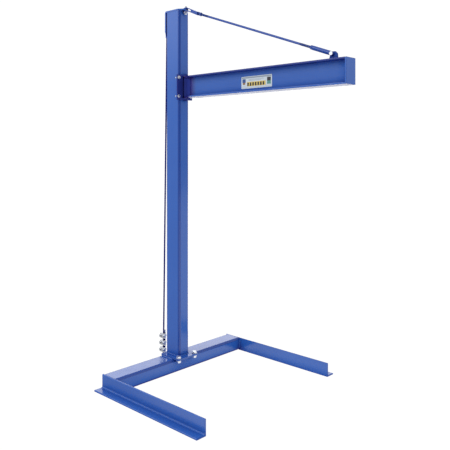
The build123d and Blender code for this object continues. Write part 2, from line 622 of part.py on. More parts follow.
def anchor_fasteners():
    """Large washer and bolt that keep the thimble on the boss."""
    seat = ANCHOR_X - THIMBLE_HALF_WIDTH - THIMBLE_PLAY
    height = 3.0
    size = 2 * PIN_RADIUS
    parts["rope_anchor_washer"] = washer((seat, ANCHOR_Y, ANCHOR_Z), (-1, 0, 0), size, 44, height)
    under_head = (seat - height, ANCHOR_Y, ANCHOR_Z)
    parts["rope_anchor_bolt"] = hex_bolt(under_head, (1, 0, 0), size, 56, 23.8, 10)


def rope_clips():
    """Three U-bolt rope clips: saddle on the live line, U round the dead end, nuts to the side."""
    leg = CLIP_LEG_SPACING / 2
    seat = -ROPE_RADIUS - SADDLE_BACK
    tip = seat - CLIP_NUT_HEIGHT - 5
    arc_y = ROPE_STEP + ROPE_RADIUS + 0.05 - (leg - CLIP_LEG_RADIUS)
    saddles, bows, nuts = [], [], []
    for z in CLIP_HEIGHTS:
        x = rope_point(z).X
        saddle = block(x - SADDLE_HALF_LENGTH, x + SADDLE_HALF_LENGTH, seat, 1.0,
                       z - SADDLE_HALF_HEIGHT, z + SADDLE_HALF_HEIGHT)
        saddle = fillet(saddle.edges().filter_by(Axis.Y), 6)
        saddle -= rod_between(rope_point(z + 40), rope_point(z - 40), ROPE_RADIUS + 0.05)
        for leg_x in (x - leg, x + leg):
            saddle -= rod_between((leg_x, seat - 5, z), (leg_x, 5, z), CLIP_LEG_RADIUS + 0.3)
            nuts.append(hex_nut((leg_x, seat, z), (0, -1, 0), 2 * CLIP_LEG_RADIUS, CLIP_NUT_ACROSS,
                                CLIP_NUT_HEIGHT))
        saddles.append(saddle)
        path = Line((x - leg, tip, z), (x - leg, arc_y, z))
        path += ThreePointArc((x - leg, arc_y, z), (x, arc_y + leg, z), (x + leg, arc_y, z))
        path += Line((x + leg, arc_y, z), (x + leg, tip, z))
        start = Plane(origin=(x - leg, tip, z), z_dir=(0, 1, 0))
        bows.append(sweep(start * Circle(CLIP_LEG_RADIUS), path=path))
    parts["rope_clip_saddles"] = saddles
    parts["rope_clip_u_bolts"] = bows
    parts["rope_clip_nuts"] = nuts


def rope_end_sleeve():
    """Sleeve pressed on the dead end of the rope."""
    z = CLIP_HEIGHTS[-1] + SADDLE_HALF_HEIGHT + 3
    sleeve = ring(rope_point(z, ROPE_STEP), rope_point(z + 18, ROPE_STEP), ROPE_RADIUS + 1.2, ROPE_RADIUS)
    return sleeve - rod_between(rope_point(z - 10), rope_point(z + 30), ROPE_RADIUS + 0.05)


# ---------------------------------------------------------------- assembly
parts["cross_member"] = cross_member()
parts["left_leg_angle"] = leg_angle(1)
parts["right_leg_angle"] = leg_angle(-1)
parts["foot_pad_plate"] = foot_plate(TUBE_SHORT)
parts["mast_base_plate"] = foot_plate(TUBE_SHORT + FOOT_PLATE)
foot_fasteners()
parts["mast_tube"] = mast_tube()
parts["left_mast_lug"] = mast_lug(1)
parts["right_mast_lug"] = mast_lug(-1)
parts["mast_head_bracket"] = head_bracket()
parts["head_rope_lug"] = head_rope_lug()
parts["hinge_bracket"] = hinge_bracket()
hinge_fasteners()
parts["swing_pin"] = swing_pin()
pin_hole = (SWING_AXIS_X, 0, LOWER_EAR_LOW - HINGE_PIN_TAIL / 2)
parts["swing_pin_cotter"] = cotter(pin_hole, (0, 1, 0), (1, 0, 0), 10.5)
parts["thrust_washers"] = thrust_washers()
parts["boom_knuckle"] = boom_knuckle()
parts["knuckle_bushes"] = knuckle_bushes()
parts["boom_beam"] = boom_beam()
parts["boom_end_plate"] = boom_end_plate()
parts["tie_lug"] = tie_lug()
parts["web_label"] = web_label()
parts["upper_clevis"] = upper_clevis()
parts["upper_clevis_pin"] = upper_clevis_pin()
parts["upper_clevis_nut"] = upper_clevis_nut()
parts["tie_rod"] = tie_rod()
parts["upper_jam_nut"] = jam_nut(on_rod(FORK_END + 20), ROD_DIRECTION)
parts["lower_jam_nut"] = jam_nut(on_rod(SOCKET_START - JAM_GAP), ROD_DIRECTION * -1)
parts["lower_clevis"] = lower_clevis()
parts["lower_clevis_pin"] = lower_clevis_pin()
pin_hole = (LOWER_PIN_X, LOWER_COTTER_Y, LOWER_PIN_Z)
parts["lower_pin_cotter"] = cotter(pin_hole, (0, 0, -1), (0, 1, 0), 9.5)
parts["stay_rope"] = stay_rope()
parts["rope_socket"] = rope_socket()
socket_fasteners()
parts["rope_anchor_boss"] = rope_anchor_boss()
anchor_fasteners()
parts["rope_thimble"] = rope_thimble()
rope_clips()
parts["rope_end_sleeve"] = rope_end_sleeve()

os.makedirs("parts", exist_ok=True)
for name, shape in parts.items():
    solids = shape if isinstance(shape, list) else [shape]
    solids = [solid for item in solids for solid in item.solids()]
    node = solids[0] if len(solids) == 1 else Compound(children=solids)
    export_step(node, os.path.join("parts", name + ".step"))
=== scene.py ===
import json
import math

import bmesh
import bpy
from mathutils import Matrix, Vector


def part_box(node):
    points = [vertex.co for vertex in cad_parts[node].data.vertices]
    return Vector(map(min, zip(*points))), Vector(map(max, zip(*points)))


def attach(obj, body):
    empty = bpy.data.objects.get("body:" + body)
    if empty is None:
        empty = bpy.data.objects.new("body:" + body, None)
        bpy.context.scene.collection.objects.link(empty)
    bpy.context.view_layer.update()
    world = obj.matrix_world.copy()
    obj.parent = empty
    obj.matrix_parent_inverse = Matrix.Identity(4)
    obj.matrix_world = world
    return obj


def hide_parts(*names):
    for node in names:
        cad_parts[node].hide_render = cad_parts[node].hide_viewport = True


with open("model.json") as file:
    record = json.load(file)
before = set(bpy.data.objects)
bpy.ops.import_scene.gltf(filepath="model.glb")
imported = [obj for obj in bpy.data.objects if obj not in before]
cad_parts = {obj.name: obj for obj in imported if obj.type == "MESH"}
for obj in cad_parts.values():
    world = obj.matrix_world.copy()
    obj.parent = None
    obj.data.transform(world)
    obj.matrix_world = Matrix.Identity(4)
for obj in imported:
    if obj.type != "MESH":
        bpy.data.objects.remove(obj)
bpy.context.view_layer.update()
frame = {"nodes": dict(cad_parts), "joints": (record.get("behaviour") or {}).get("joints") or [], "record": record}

# Looks for the hoist crane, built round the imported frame. Metres, in the frame's own axes:
# +X out along the boom, +Z up, the origin on the floor under the mast.

MM = 0.001

# Camera: a level view from the crane's front right at eye height.
CAMERA_PLACE = Vector((3.447, -3.104, 1.682))
CAMERA_HEADING = 43.48          # degrees from +Y towards -X
LENS = 48.17                    # on a 36 mm sensor
LENS_DROP = -0.1704             # vertical shift, as a share of the picture's width

# Level directions in the studio, as seen in the picture.
LEFT = (-0.743, -0.669, 0.0)    # what the mast's -Y side mirrors to the camera
RIGHT = (0.743, 0.669, 0.0)     # what its +X side mirrors
BEHIND = (-0.743, 0.669, 0.0)   # straight on past the object
CAMERA_SIDE = (0.743, -0.669, 0.0)

# Colours, as linear red, green and blue.
PAINT = (0.025, 0.114, 0.465)
PAINT_BROAD = (0.022, 0.105, 0.445)
# painted shade: dark navy laid on edges, on faces turned away from the camera, on tube corners, under the boom's
# top flange and over shaded copies of the paint
PAINT_SHADE = (0.006, 0.018, 0.200)
# painted shade: dark purple-blue laid in corners, gaps and the hinge's throat
PAINT_RECESS_SHADE = (0.026, 0.024, 0.200)
PAINT_WORN = (0.06, 0.14, 0.42)
ZINC = (0.82, 0.84, 0.87)
ZINC_BLUISH = (0.72, 0.75, 0.82)
ZINC_STRAW = (0.78, 0.74, 0.60)
# painted highlight: lighter zinc on sharp edges
ZINC_EDGE_HIGHLIGHT = (0.92, 0.93, 0.95)
ZINC_DULL = (0.60, 0.62, 0.66)
# painted shade: near-black in the hollows of zinc parts
ZINC_RECESS_SHADE = (0.03, 0.035, 0.10)
BRONZE = (0.52, 0.34, 0.13)
BRONZE_DARK = (0.30, 0.18, 0.08)
ROPE_COAT = (0.002, 0.008, 0.170)
# painted sheen: lighter streaks along the rope's wires
ROPE_PAINTED_SHEEN = (0.003, 0.016, 0.260)
ROPE_GRIME = (0.003, 0.004, 0.03)
LABEL_WHITE = (0.66, 0.74, 0.80)
LABEL_GREY = (0.30, 0.36, 0.44)
LABEL_YELLOW = (0.82, 0.62, 0.16)
LABEL_BLACK = (0.03, 0.03, 0.04)
LABEL_BLUE = (0.03, 0.09, 0.30)
LABEL_BROWN = (0.30, 0.16, 0.07)
LABEL_GREEN = (0.10, 0.32, 0.30)

# Sizes that a box doesn't give.
TUBE_RADIUS = 19 * MM           # outer corners of the mast and the cross member
BEAM_FLANGE = 10.3 * MM         # thickness of the boom's flanges
KNUCKLE_PLATE_HALF = 7 * MM     # half the thickness of the knuckle's plate
BOOM_ROOT_END = 210 * MM        # along X, where the shade at the boom's root ends
FOOT_WASHER_RADIUS = 18.5 * MM
CLIP_COUNT = 3
CLIP_HALF_HEIGHT = 19 * MM      # half the height of a rope clip's saddle
CLIP_STEP = 54 * MM             # from one rope clip to the next
CLIP_LEG_SPACING = 29 * MM      # between the legs of a clip's U-bolt
ROPE_FOOT_DROP = 22 * MM        # from the lowest clip down to where the loop begins
ROPE_END_IN_SLEEVE = 6 * MM     # the dead end stops this far below the sleeve's top

# Radius and pitch of each kind of thread.
FOOT_THREAD = (9.5 * MM, 2.5 * MM)
ROD_THREAD = (7.95 * MM, 2.3 * MM)
CLIP_THREAD = (5.5 * MM, 1.6 * MM)

WELD_LEG = 6 * MM
WELD_PITCH = 3.6 * MM           # from one ripple of a bead to the next
UP = (0, 0, 1)
DOWN = (0, 0, -1)
FORWARD = (1, 0, 0)
BACKWARD = (-1, 0, 0)


# ---------------------------------------------------------------- places from the frame
def middle(node):
    """Centre of a node's box."""
    low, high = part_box(node)
    return (low + high) / 2


mast_low, mast_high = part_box("mast_tube")
base_low, base_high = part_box("cross_member")
foot_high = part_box("mast_base_plate")[1]
beam_low, beam_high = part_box("boom_beam")


# ---------------------------------------------------------------- material helpers
class Shader:
    """A material's node tree, with short calls that add and link nodes."""

    def __init__(self, name):
        self.material = bpy.data.materials.new(name)
        self.material.use_nodes = True
        self.nodes = self.material.node_tree.nodes
        self.links = self.material.node_tree.links
        self.surface = self.nodes["Principled BSDF"]
        self.place = self.nodes.new("ShaderNodeTexCoord").outputs["Object"]

    def link(self, source, target):
        self.links.new(source, target)

    def feed(self, socket, value):
        """Links a socket, or sets a plain value."""
        if isinstance(value, bpy.types.NodeSocket):
            self.link(value, socket)
        elif isinstance(value, tuple):
            socket.default_value = (*value, 1.0) if len(value) == 3 else value
        else:
            socket.default_value = value

    def noise(self, scale, detail=3.0, roughness=0.5, stretch=None):
        node = self.nodes.new("ShaderNodeTexNoise")
        node.inputs["Scale"].default_value = scale
        node.inputs["Detail"].default_value = detail
        node.inputs["Roughness"].default_value = roughness
        place = self.place
        if stretch:
            mapping = self.nodes.new("ShaderNodeMapping")
            mapping.inputs["Scale"].default_value = stretch
            self.link(self.place, mapping.inputs["Vector"])
            place = mapping.outputs["Vector"]
        self.link(place, node.inputs["Vector"])
        return node.outputs["Fac"]

    def cells(self, scale):
        """A random colour for each cell."""
        node = self.nodes.new("ShaderNodeTexVoronoi")
        node.inputs["Scale"].default_value = scale
        self.link(self.place, node.inputs["Vector"])
        return node.outputs["Color"]

    def math(self, operation, a, b=0.0):
        node = self.nodes.new("ShaderNodeMath")
        node.operation = operation
        self.feed(node.inputs[0], a)
        self.feed(node.inputs[1], b)
        return node.outputs[0]

    def spread(self, value, low, high, to_low=0.0, to_high=1.0):
        """Maps low..high to to_low..to_high, clamped."""
        node = self.nodes.new("ShaderNodeMapRange")
        self.feed(node.inputs["Value"], value)
        node.inputs["From Min"].default_value = low
        node.inputs["From Max"].default_value = high
        node.inputs["To Min"].default_value = to_low
        node.inputs["To Max"].default_value = to_high
        return node.outputs["Result"]

    def mix(self, share, a, b):
        """Colour between a and b."""
        node = self.nodes.new("ShaderNodeMix")
        node.data_type = "RGBA"
        self.feed(node.inputs["Factor"], share)
        self.feed(node.inputs["A"], a)
        self.feed(node.inputs["B"], b)
        return node.outputs["Result"]

    def bump(self, height, strength, distance, normal=None):
        node = self.nodes.new("ShaderNodeBump")
        node.inputs["Strength"].default_value = strength
        node.inputs["Distance"].default_value = distance
        self.link(height, node.inputs["Height"])
        if normal:
            self.link(normal, node.inputs["Normal"])
        return node.outputs["Normal"]

    def rounded_edges(self, radius):
        """Normal that rounds sharp edges, and a mask that is 1 on them."""
        bevel = self.nodes.new("ShaderNodeBevel")
        bevel.samples = 6
        bevel.inputs["Radius"].default_value = radius
        geometry = self.nodes.new("ShaderNodeNewGeometry")
        turn = self.nodes.new("ShaderNodeVectorMath")
        turn.operation = "DOT_PRODUCT"
        self.link(bevel.outputs["Normal"], turn.inputs[0])
        self.link(geometry.outputs["Normal"], turn.inputs[1])
        mask = self.spread(turn.outputs["Value"], 0.985, 0.80)
        return bevel.outputs["Normal"], mask

    def openness(self, distance):
        """1 on open faces and 0 deep in a corner or a gap."""
        node = self.nodes.new("ShaderNodeAmbientOcclusion")
        node.samples = 8
        node.inputs["Distance"].default_value = distance
        return node.outputs["AO"]

    def grazing(self, low, high):
        """0 where a face is square to the camera, 1 where it turns away from it."""
        node = self.nodes.new("ShaderNodeLayerWeight")
        node.inputs["Blend"].default_value = 0.5
        return self.spread(node.outputs["Facing"], low, high)

    def seen_by(self, ray):
        """1 for one kind of ray: Camera, Diffuse or Glossy."""
        return self.nodes.new("ShaderNodeLightPath").outputs["Is " + ray + " Ray"]

    def towards(self, place, direction):
        """How far a place or a direction lies along another, as a share of its length."""
        unit = self.nodes.new("ShaderNodeVectorMath")
        unit.operation = "NORMALIZE"
        self.link(place, unit.inputs[0])
        dot = self.nodes.new("ShaderNodeVectorMath")
        dot.operation = "DOT_PRODUCT"
        self.link(unit.outputs["Vector"], dot.inputs[0])
        dot.inputs[1].default_value = direction
        return dot.outputs["Value"]

    def blend(self, share, a, b):
        """Number between a and b."""
        node = self.nodes.new("ShaderNodeMix")
        self.feed(node.inputs["Factor"], share)
        self.feed(node.inputs["A"], a)
        self.feed(node.inputs["B"], b)
        return node.outputs["Result"]

    def tube_corner(self, low, high, axes):
        """1 on the rounded corners of a tube, 0 on its flats."""
        near = []
        for axis in axes:
            index = "XYZ".index(axis)
            centre = (low[index] + high[index]) / 2
            flat = high[index] - centre - TUBE_RADIUS
            offset = self.math("ABSOLUTE", self.math("SUBTRACT", self.axis_value(axis), centre))
            near.append(self.spread(offset, flat, flat + 5 * MM))
        return self.math("MINIMUM", near[0], near[1])

    def axis_value(self, axis):
        """Place along X, Y or Z."""
        node = self.nodes.new("ShaderNodeSeparateXYZ")
        self.link(self.place, node.inputs["Vector"])
        return node.outputs[axis]

    def finish(self, colour, roughness, normal=None, metallic=0.0, **extra):
        """Feeds the surface. The names in extra are its inputs, with _ for a space."""
        self.feed(self.surface.inputs["Base Color"], colour)
        self.feed(self.surface.inputs["Roughness"], roughness)
        self.feed(self.surface.inputs["Metallic"], metallic)
        if normal:
            self.link(normal, self.surface.inputs["Normal"])
        for name, value in extra.items():
            self.feed(self.surface.inputs[name.replace("_", " ")], value)
        return self.material


def blue_paint(name="blue_paint", ripple=0.0, shade=0.0, tone=PAINT_SHADE, dark_above=None,
               dark_root=None, tube=None):
    """Semi-gloss enamel: orange peel, slight waviness of rolled steel, painted shade darkening edges.

    ripple is the strength of the lumps of a weld bead. shade is the share of painted shade, a darker
    tone over the whole coat, in the colour tone. dark_above is a height above which painted shade
    turns it deep blue, and dark_root a distance along X within which painted shade turns it to a
    recess's tone. tube is the box of a rounded tube with the two axes across it: its corners are
    darker, with painted shade."""
    look = Shader(name)
    normal, edges = look.rounded_edges(0.6 * MM if ripple else 4.0 * MM)
    broad = look.noise(2.2, detail=4.0, roughness=0.6)
    colour = look.mix(look.spread(broad, 0.35, 0.65), PAINT, PAINT_BROAD)
    # painted shade: deep blue along the top flange's edge and on the web just under it
    if dark_above:
        top = look.spread(look.axis_value("Z"), dark_above - 16 * MM, dark_above, 0.0, 0.9)
        colour = look.mix(top, colour, PAINT_SHADE)
    # painted shade: darker rounded corners of a tube
    if tube:
        colour = look.mix(look.math("MULTIPLY", look.tube_corner(*tube), 0.55), colour, PAINT_SHADE)
    # painted shade: dark navy on sharp edges
    colour = look.mix(look.math("MULTIPLY", edges, 0.85), colour, PAINT_SHADE)
    # painted shade: dark navy where a face turns away from the camera
    colour = look.mix(look.math("MULTIPLY", look.grazing(0.60, 0.95), 0.85), colour, PAINT_SHADE)
    chips = look.spread(look.noise(55.0, detail=6.0, roughness=0.7), 0.60, 0.72)
    worn = look.math("MULTIPLY", edges, chips)
    colour = look.mix(look.math("MULTIPLY", worn, 0.3), colour, PAINT_WORN)
    # painted shade: dark purple-blue deep in corners and gaps
    openness = look.openness(90 * MM)
    colour = look.mix(look.spread(openness, 0.66, 0.20), colour, PAINT_RECESS_SHADE)
    # painted shade: a share of a darker tone over the whole coat, for shaded copies of the paint
    colour = look.mix(shade, colour, tone)
    # painted shade: the boom's root turns to a recess's tone near the hinge
    if dark_root:
        root = look.spread(look.axis_value("X"), dark_root, dark_root - 50 * MM)
        colour = look.mix(root, colour, PAINT_RECESS_SHADE)
    gloss = look.noise(14.0, detail=5.0, roughness=0.65)
    roughness = look.spread(gloss, 0.3, 0.7, 0.16, 0.22)
    steel_wave = look.noise(9.0, detail=2.0)
    peel = look.noise(620.0, detail=1.0)
    if ripple:
        peel = look.math("ADD", peel, look.math("MULTIPLY", look.noise(240.0, detail=2.0), ripple))
        roughness = look.math("ADD", roughness, 0.15)
    normal = look.bump(steel_wave, 0.06, 2.0 * MM, normal)
    normal = look.bump(peel, 0.12, 0.10 * MM, normal)
    shine = look.spread(openness, 0.60, 0.86, 0.05, 0.5 - 0.4 * shade)
    coat = look.spread(openness, 0.60, 0.86, 0.0, 0.15 - 0.15 * shade)
    return look.finish(colour, roughness, normal, IOR=1.5, Specular_IOR_Level=shine,
                       Coat_Weight=coat, Coat_Roughness=0.08)


def zinc_plate():
    """Bright zinc: a fine brushed grain with faint blue and straw tints."""
    look = Shader("zinc_plate")
    normal, edges = look.rounded_edges(0.5 * MM)
    patch = look.noise(90.0, detail=4.0, roughness=0.6)
    tint = look.mix(look.spread(patch, 0.4, 0.62), ZINC, ZINC_BLUISH)
    straw = look.spread(look.noise(130.0, detail=3.0), 0.58, 0.72, 0.0, 0.35)
    colour = look.mix(straw, tint, ZINC_STRAW)
    # painted highlight: lighter zinc on sharp edges
    colour = look.mix(look.math("MULTIPLY", edges, 0.35), colour, ZINC_EDGE_HIGHLIGHT)
    # painted shade: near-black in hollows
    colour = look.mix(look.spread(look.openness(18 * MM), 0.72, 0.25), colour, ZINC_RECESS_SHADE)
    roughness = look.spread(patch, 0.3, 0.7, 0.22, 0.36)
    grain = look.noise(1400.0, detail=2.0, stretch=(1.0, 1.0, 6.0))
    normal = look.bump(grain, 0.18, 0.05 * MM, normal)
    return look.finish(colour, roughness, normal, metallic=0.85)


def galvanized():
    """Hot-dip zinc: crystal spangles of slightly different brightness and gloss."""
    look = Shader("galvanized")
    normal, edges = look.rounded_edges(0.8 * MM)
    grey = look.nodes.new("ShaderNodeRGBToBW")
    look.link(look.cells(260.0), grey.inputs["Color"])
    colour = look.mix(grey.outputs["Val"], ZINC_DULL, ZINC)
    # painted highlight: lighter zinc on sharp edges
    colour = look.mix(look.math("MULTIPLY", edges, 0.4), colour, (0.9, 0.9, 0.92))
    # painted shade: near-black in hollows
    colour = look.mix(look.spread(look.openness(18 * MM), 0.72, 0.25), colour, ZINC_RECESS_SHADE)
    roughness = look.spread(grey.outputs["Val"], 0.0, 1.0, 0.28, 0.48)
    normal = look.bump(look.noise(420.0, detail=4.0), 0.25, 0.15 * MM, normal)
    return look.finish(colour, roughness, normal, metallic=0.85)


def bronze():
    """Turned bearing bronze with fine tool rings."""
    look = Shader("bronze")
    colour = look.mix(look.spread(look.noise(160.0, detail=5.0), 0.4, 0.66), BRONZE, BRONZE_DARK)
    rings = look.noise(900.0, detail=1.0, stretch=(0.05, 0.05, 4.0))
    roughness = look.spread(rings, 0.3, 0.7, 0.25, 0.45)
    return look.finish(colour, roughness, look.bump(rings, 0.3, 0.05 * MM), metallic=1.0)


def rope_wire():
    """Dark blue coated wire: fine wires run along each strand, with a slight sheen painted in as lighter streaks.
    """
    look = Shader("rope_wire")
    lay = look.noise(1500.0, detail=2.0, stretch=(1.0, 1.0, 0.25))
    grime = look.noise(60.0, detail=5.0, roughness=0.7)
    # painted sheen: lighter streaks along the wires
    colour = look.mix(look.spread(lay, 0.42, 0.68), ROPE_COAT, ROPE_PAINTED_SHEEN)
    colour = look.mix(look.spread(grime, 0.55, 0.75, 0.0, 0.5), colour, ROPE_GRIME)
    roughness = look.spread(grime, 0.3, 0.7, 0.42, 0.60)
    return look.finish(colour, roughness, look.bump(lay, 0.5, 0.25 * MM), Specular_IOR_Level=0.05)


def printed(name, ink):
    """Printed vinyl: slight mottling of the ink and a faint texture of the film."""
    look = Shader(name)
    mottle = look.noise(420.0, detail=3.0)
    darker = tuple(channel * 0.82 for channel in ink)
    colour = look.mix(look.spread(mottle, 0.35, 0.70), ink, darker)
    film = look.noise(1100.0, detail=2.0)
    roughness = look.spread(mottle, 0.3, 0.7, 0.27, 0.40)
    return look.finish(colour, roughness, look.bump(film, 0.10, 0.04 * MM), IOR=1.45)


# ---------------------------------------------------------------- mesh helpers
def add_piece(name, mesh, material, body, smooth=True):
    """Puts a finished mesh in the scene as a piece that rides on a body."""
    thing = bpy.data.objects.new(name, mesh)
    bpy.context.scene.collection.objects.link(thing)
    mesh.materials.append(material)
    for face in mesh.polygons:
        face.use_smooth = smooth
    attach(thing, body)
    return thing


class Sheet:
    """Collects vertices and faces of one mesh, made of lofted closed rings."""

    def __init__(self):
        self.vertices = []
        self.faces = []

    def loft(self, rings, closed_path=False):
        """Skins a list of rings that have the same number of points."""
        first = len(self.vertices)
        count = len(rings[0])
        for points in rings:
            self.vertices.extend(points)
        spans = len(rings) if closed_path else len(rings) - 1
        for i in range(spans):
            a = first + i * count
            b = first + ((i + 1) % len(rings)) * count
            for j in range(count):
                k = (j + 1) % count
                self.faces.append((a + j, a + k, b + k, b + j))
        if not closed_path:
            self.faces.append(tuple(first + j for j in reversed(range(count))))
            last = first + (len(rings) - 1) * count
            self.faces.append(tuple(last + j for j in range(count)))

    def mesh(self, name):
        """The mesh, with its faces turned outwards."""
        mesh = bpy.data.meshes.new(name)
        mesh.from_pydata([tuple(v) for v in self.vertices], [], self.faces)
        build = bmesh.new()
        build.from_mesh(mesh)
        bmesh.ops.recalc_face_normals(build, faces=build.faces)
        build.to_mesh(mesh)
        build.free()
        return mesh


def evenly(points, step, closed=False):
    """Points at an even spacing along a polyline, with the tangent at each."""
    if closed:
        points = points + [points[0]]
    lengths = [0.0]
    for a, b in zip(points, points[1:]):
        lengths.append(lengths[-1] + (b - a).length)
    total = lengths[-1]
    count = max(2, round(total / step))
    result = []
    segment = 0
    for i in range(count if closed else count + 1):
        want = total * i / count
        while segment < len(points) - 2 and lengths[segment + 1] < want:
            segment += 1
        a, b = points[segment], points[segment + 1]
        span = lengths[segment + 1] - lengths[segment]
        share = (want - lengths[segment]) / span if span else 0.0
        result.append((a.lerp(b, share), (b - a).normalized()))
    return result


# ---------------------------------------------------------------- weld beads
def wobble(t, seed):
    """Smooth repeatable variation between -1 and 1."""
    return math.sin(t * 1.7 + seed) * 0.6 + math.sin(t * 0.61 + seed * 2.3) * 0.4


def weld_bead(sheet, corner, seats, leg=WELD_LEG, closed=False, seed=0.0):
    """A fillet weld with stacked ripples along a line of corner points.

    seats(place) gives the two unit directions that lie in the joined faces, away from the corner.
    seed shifts where the bead swells."""
    step = WELD_PITCH / 4
    stations = evenly(corner, step, closed)
    rings = []
    last = 6
    for i, (place, tangent) in enumerate(stations):
        first, second = seats(place)
        phase = (i * step / WELD_PITCH) % 1.0
        swell = 1.0 + 0.10 * (1 - abs(2 * phase - 1)) + 0.07 * wobble(i * 0.21, seed)
        taper = 1.0
        if not closed:
            from_end = min(i, len(stations) - 1 - i)
            taper = min(1.0, 0.35 + 0.65 * math.sqrt(from_end / 6))
        size = leg * swell * taper
        ring = [place - (first + second) * (0.5 * MM)]
        for j in range(last + 1):
            share = j / last
            angle = math.pi / 2 * share
            flat = first * (1 - share) + second * share
            round_out = first * math.cos(angle) + second * math.sin(angle)
            reach = flat.lerp(round_out, 0.35)
            lag = math.sin(math.pi * share) * 0.9 * MM
            ring.append(place + reach * size - tangent * lag)
        rings.append(ring)
    sheet.loft(rings, closed_path=closed)


def straight_weld(sheet, start, end, first, second, leg=WELD_LEG, seed=0.0):
    """Weld along a straight corner, with its two seats given as directions."""
    def seats(place):
        return Vector(first), Vector(second)
    weld_bead(sheet, [Vector(start), Vector(end)], seats, leg, seed=seed)


def rounded_loop(half_x, half_y, radius, z, steps=8):
    """Corner line round a rounded rectangle at a height."""
    points = []
    for quarter in range(4):
        sx = (1, -1, -1, 1)[quarter]
        sy = (1, 1, -1, -1)[quarter]
        for i in range(steps + 1):
            angle = math.pi / 2 * (quarter + i / steps)
            x = sx * (half_x - radius) + radius * math.cos(angle)
            y = sy * (half_y - radius) + radius * math.sin(angle)
            points.append(Vector((x, y, z)))
    return points


def outward_and_up(half_x, half_y, radius):
    """Seats for a weld round the foot of a rounded tube that stands on a plate."""
    def seats(place):
        inner_x = max(-(half_x - radius), min(half_x - radius, place.x))
        inner_y = max(-(half_y - radius), min(half_y - radius, place.y))
        out = Vector((place.x - inner_x, place.y - inner_y, 0)).normalized()
        return out, Vector(UP)
    return seats


def round_weld(sheet, centre, radius, leg, seed):
    """Weld round a bar that stands out backwards from a flat face."""
    places = []
    for i in range(48):
        angle = 2 * math.pi * i / 48
        places.append(centre + Vector((0, math.cos(angle), math.sin(angle))) * radius)

    def seats(place):
        return (place - centre).normalized(), Vector(BACKWARD)
    weld_bead(sheet, places, seats, leg, closed=True, seed=seed)


def foot_welds(sheet):
    """Mast to its plate, plate to the cross member, and cross member to the legs and the boss."""
    loop = rounded_loop(mast_high.x, mast_high.y, TUBE_RADIUS, mast_low.z)
    seats = outward_and_up(mast_high.x, mast_high.y, TUBE_RADIUS)
    weld_bead(sheet, loop, seats, 5 * MM, closed=True, seed=1.0)
    flat = base_high.x - TUBE_RADIUS
    top = base_high.z
    for side in (-1, 1):
        plate_end = side * foot_high.y
        straight_weld(sheet, (-flat, plate_end, top), (flat, plate_end, top),
                      (0, side, 0), UP, seed=2.0 + side)
        tube_end = side * base_high.y
        straight_weld(sheet, (base_high.x, tube_end, TUBE_RADIUS),
                      (base_high.x, tube_end, top - TUBE_RADIUS),
                      FORWARD, (0, -side, 0), 7 * MM, seed=4.0 + side)
    boss_low, boss_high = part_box("rope_anchor_boss")
    centre = (boss_low + boss_high) / 2
    centre.x = boss_high.x
    round_weld(sheet, centre, (boss_high.z - boss_low.z) / 2, 5 * MM, seed=13.0)


def mast_welds(sheet):
    """Side lugs, the head's rope lug and nose, and the ears of the hinge bracket."""
    lug_low, lug_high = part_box("left_mast_lug")
    rope_lug_low, rope_lug_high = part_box("head_rope_lug")
    # the thrust washers lie against the ears' inner faces
    ear_low, ear_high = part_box("thrust_washers")
    # the bracket's plate is as thick as the lug that it is bolted to
    bracket_face = lug_high.x + lug_high.x - lug_low.x
    for side in (-1, 1):
        out = (0, side, 0)
        # between the nuts, where the lug's back meets the tube's rounded corner
        y = side * (mast_high.y - 3.6 * MM)
        straight_weld(sheet, (lug_low.x, y, lug_low.z + 44 * MM), (lug_low.x, y, lug_high.z - 38 * MM),
                      BACKWARD, out, 4 * MM, seed=6.0 + side)
        y = side * rope_lug_high.y
        straight_weld(sheet, (rope_lug_high.x, y, rope_lug_low.z + 3 * MM),
                      (rope_lug_high.x, y, rope_lug_high.z - 3 * MM), BACKWARD, out, seed=8.0)
        # under the nose, on both sides of the fork
        inner_y = side * 18 * MM
        outer_y = side * 31 * MM
        straight_weld(sheet, (mast_high.x, inner_y, mast_high.z), (mast_high.x, outer_y, mast_high.z),
                      FORWARD, DOWN, 5 * MM, seed=11.0)
        # inside the ears, on both sides of the bracket's window
        inner_y = side * 21 * MM
        outer_y = side * 34 * MM
        for level, direction in ((ear_low.z, UP), (ear_high.z, DOWN)):
            straight_weld(sheet, (bracket_face, outer_y, level), (bracket_face, inner_y, level),
                          FORWARD, direction, 4 * MM, seed=15.0)


def frame_welds(paint):
    """All welds of the mast and the base, as one piece."""
    sheet = Sheet()
    foot_welds(sheet)
    mast_welds(sheet)
    add_piece("frame_welds", sheet.mesh("frame_welds"), paint, "frame")


def boom_welds(paint):
    """Beam to its end plate and tie lug."""
    sheet = Sheet()
    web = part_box("web_label")[1].y
    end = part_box("boom_end_plate")[0].x
    inset = BEAM_FLANGE + 9 * MM
    lug_low, lug_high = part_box("tie_lug")
    for side in (-1, 1):
        out = (0, side, 0)
        face = -side * web
        straight_weld(sheet, (end, face, beam_low.z + inset), (end, face, beam_high.z - inset),
                      BACKWARD, out, seed=20.0 + side)
        for level, direction in ((beam_low.z + BEAM_FLANGE, UP), (beam_high.z - BEAM_FLANGE, DOWN)):
            straight_weld(sheet, (end, face + side * 8 * MM, level),
                          (end, side * (beam_high.y - 3 * MM), level),
                          BACKWARD, direction, 5 * MM, seed=22.0)
        straight_weld(sheet, (lug_low.x + 1 * MM, side * lug_high.y, beam_high.z),
                      (lug_high.x - 1 * MM, side * lug_high.y, beam_high.z),
                      out, UP, seed=26.0 + side)
    add_piece("boom_welds", sheet.mesh("boom_welds"), paint, "boom")


